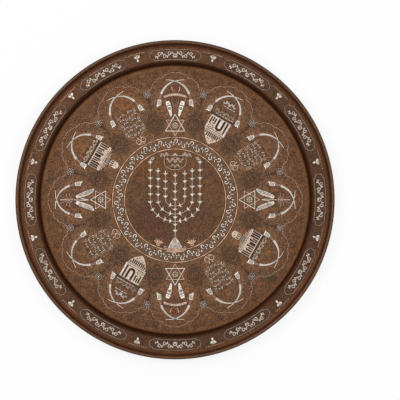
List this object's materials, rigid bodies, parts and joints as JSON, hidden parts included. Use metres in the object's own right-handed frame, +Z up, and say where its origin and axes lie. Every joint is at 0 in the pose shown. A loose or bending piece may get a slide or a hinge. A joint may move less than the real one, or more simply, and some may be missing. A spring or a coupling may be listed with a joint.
{
  "type": "inlaid tray",
  "caption": "Large round metal tray with a flat well, a stepped rim, a rolled wired edge and silver and copper inlay.",
  "frame": {"origin": "centre of the flat underside, on the surface that the tray lies on", "axes": "+Z up out of the well, +Y toward the top of the menorah in the middle, +X to its right"},
  "size_m": [0.615, 0.615, 0.0214],
  "materials": {
    "patinated_brass": "beaten, engraved and darkened brown by age",
    "silver_inlay": "silver sheet and wire, engraved and softly worn",
    "copper_inlay": "drawn copper wire, dull",
    "edge_iron": "plain iron wire"
  },
  "bodies": {
    "root": {"tray_body": "patinated_brass", "edge_wire": "edge_iron", "ring_inner": "copper_inlay", "ring_outer": "copper_inlay", "menorah": "silver_inlay", "crest_frame": "silver_inlay", "scroll_left": "copper_inlay", "scroll_right": "copper_inlay", "wreath_01": "silver_inlay", "rim_panel_01": "silver_inlay", "rim_trefoil_01": "silver_inlay", "star_01": "silver_inlay", "horn_pair_01": "silver_inlay", "wreath_02": "silver_inlay", "rim_panel_02": "silver_inlay", "rim_trefoil_02": "silver_inlay", "wreath_03": "silver_inlay", "rim_panel_03": "silver_inlay", "rim_trefoil_03": "silver_inlay", "tall_hall_03": "silver_inlay", "wreath_04": "silver_inlay", "rim_panel_04": "silver_inlay", "rim_trefoil_04": "silver_inlay", "star_04": "silver_inlay", "leaf_left_04": "silver_inlay", "leaf_right_04": "silver_inlay", "bowed_bar_04": "silver_inlay", "wreath_05": "silver_inlay", "rim_panel_05": "silver_inlay", "rim_trefoil_05": "silver_inlay", "wreath_06": "silver_inlay", "rim_panel_06": "silver_inlay", "rim_trefoil_06": "silver_inlay", "wide_hall_06": "silver_inlay", "wreath_07": "silver_inlay", "rim_panel_07": "silver_inlay", "rim_trefoil_07": "silver_inlay", "star_07": "silver_inlay", "horn_pair_07": "silver_inlay", "wreath_08": "silver_inlay", "rim_panel_08": "silver_inlay", "rim_trefoil_08": "silver_inlay", "wreath_09": "silver_inlay", "rim_panel_09": "silver_inlay", "rim_trefoil_09": "silver_inlay", "tall_hall_09": "silver_inlay", "wreath_10": "silver_inlay", "rim_panel_10": "silver_inlay", "rim_trefoil_10": "silver_inlay", "star_10": "silver_inlay", "leaf_left_10": "silver_inlay", "leaf_right_10": "silver_inlay", "bowed_bar_10": "silver_inlay", "wreath_11": "silver_inlay", "rim_panel_11": "silver_inlay", "rim_trefoil_11": "silver_inlay", "wreath_12": "silver_inlay", "rim_panel_12": "silver_inlay", "rim_trefoil_12": "silver_inlay", "wide_hall_12": "silver_inlay"}
  },
  "joints": []
}
